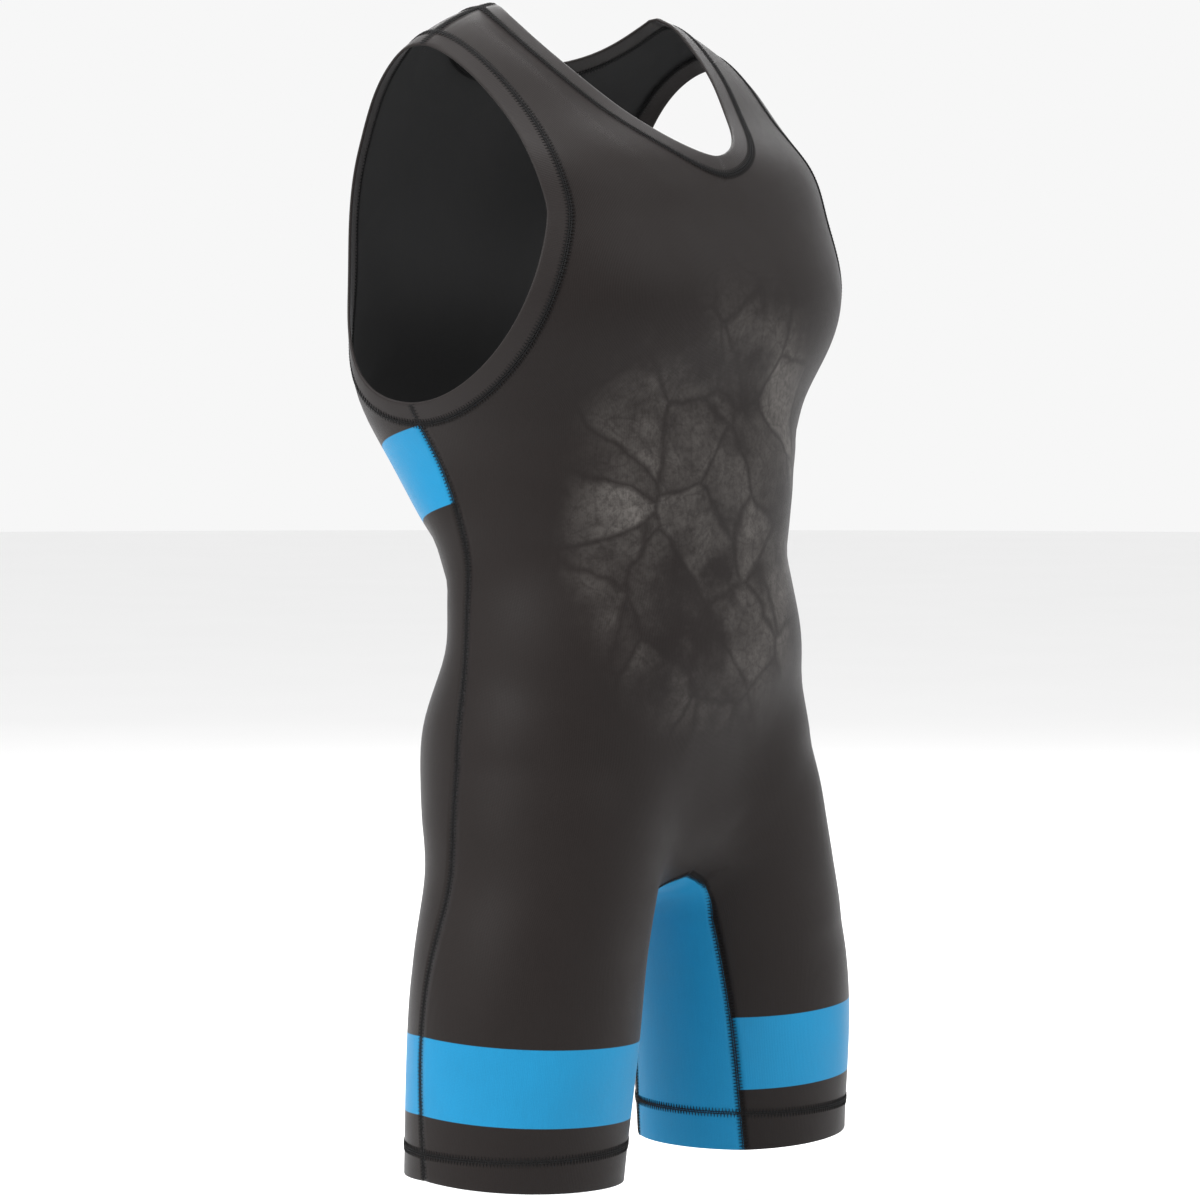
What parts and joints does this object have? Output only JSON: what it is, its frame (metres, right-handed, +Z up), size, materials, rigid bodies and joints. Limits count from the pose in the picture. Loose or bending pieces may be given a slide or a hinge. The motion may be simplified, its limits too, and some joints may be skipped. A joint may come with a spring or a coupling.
{
  "type": "wrestling singlet",
  "caption": "Hollow one-piece sleeveless sports singlet with shoulder straps, scooped neck, wide armholes and fitted short legs, in its worn shape.",
  "frame": {"origin": "midway between the two shoulder straps, level with their tops, where the wearer holds the garment up", "axes": "+Z up, the garment's front faces -Y, and +X is to the garment's own left"},
  "size_m": [0.4244, 0.2745, 0.8596],
  "materials": {
    "charcoal_knit": "smooth stretch knit with a faint sheen",
    "blue_knit": "smooth stretch knit with a faint sheen"
  },
  "bodies": {
    "root": {"front_panel": "charcoal_knit", "back_panel": "charcoal_knit", "inner_leg_panel": "blue_knit", "neck_hem": "charcoal_knit", "armhole_hem_right": "charcoal_knit", "armhole_hem_left": "charcoal_knit"}
  },
  "joints": []
}
